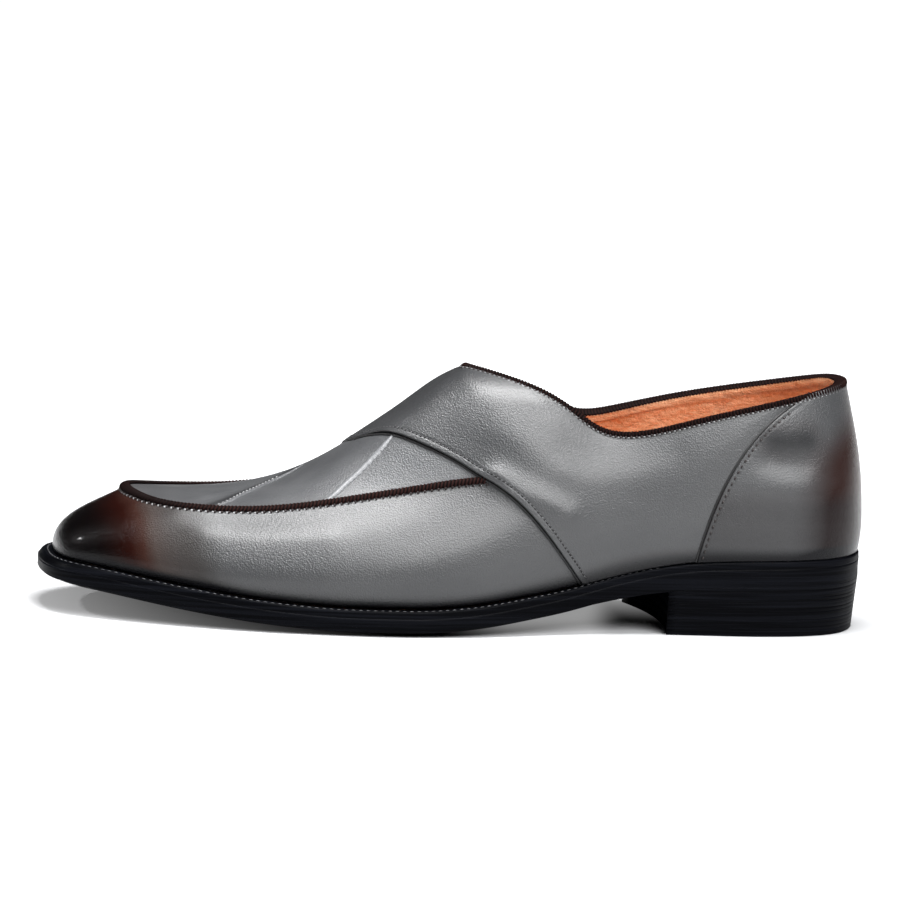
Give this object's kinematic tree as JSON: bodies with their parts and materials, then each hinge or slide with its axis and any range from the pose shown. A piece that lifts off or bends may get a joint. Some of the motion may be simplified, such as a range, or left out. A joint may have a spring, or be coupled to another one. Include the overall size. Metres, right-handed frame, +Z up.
{
  "type": "slip-on dress loafer",
  "caption": "Left slip-on dress loafer with a grey leather upper, apron toe, crossover quarter panel, bound collar and black moulded sole with a low block heel.",
  "frame": {"origin": "on the floor, under the middle of the whole shoe's length and width", "axes": "+X towards the heel, so the toe points to -X; -Y towards the lateral side of this left shoe; +Z up from the floor"},
  "size_m": [0.3, 0.103, 0.0918],
  "materials": {
    "black_rubber": "satin moulded rubber",
    "tan_leather": "matt lining leather",
    "grey_leather": "satin fine-grain leather, burnished dark at the toe",
    "brown_leather": "satin leather burnished brown at the back",
    "dark_trim": "dark brown ribbed leather"
  },
  "bodies": {
    "root": {"outsole": "black_rubber", "welt": "black_rubber", "heel": "black_rubber", "insole": "tan_leather", "upper": "grey_leather", "crossover_panel": "grey_leather", "heel_counter": "brown_leather", "apron_piping": "dark_trim", "collar_binding": "dark_trim", "pleat_front": "grey_leather", "pleat_rear": "grey_leather"}
  },
  "joints": []
}
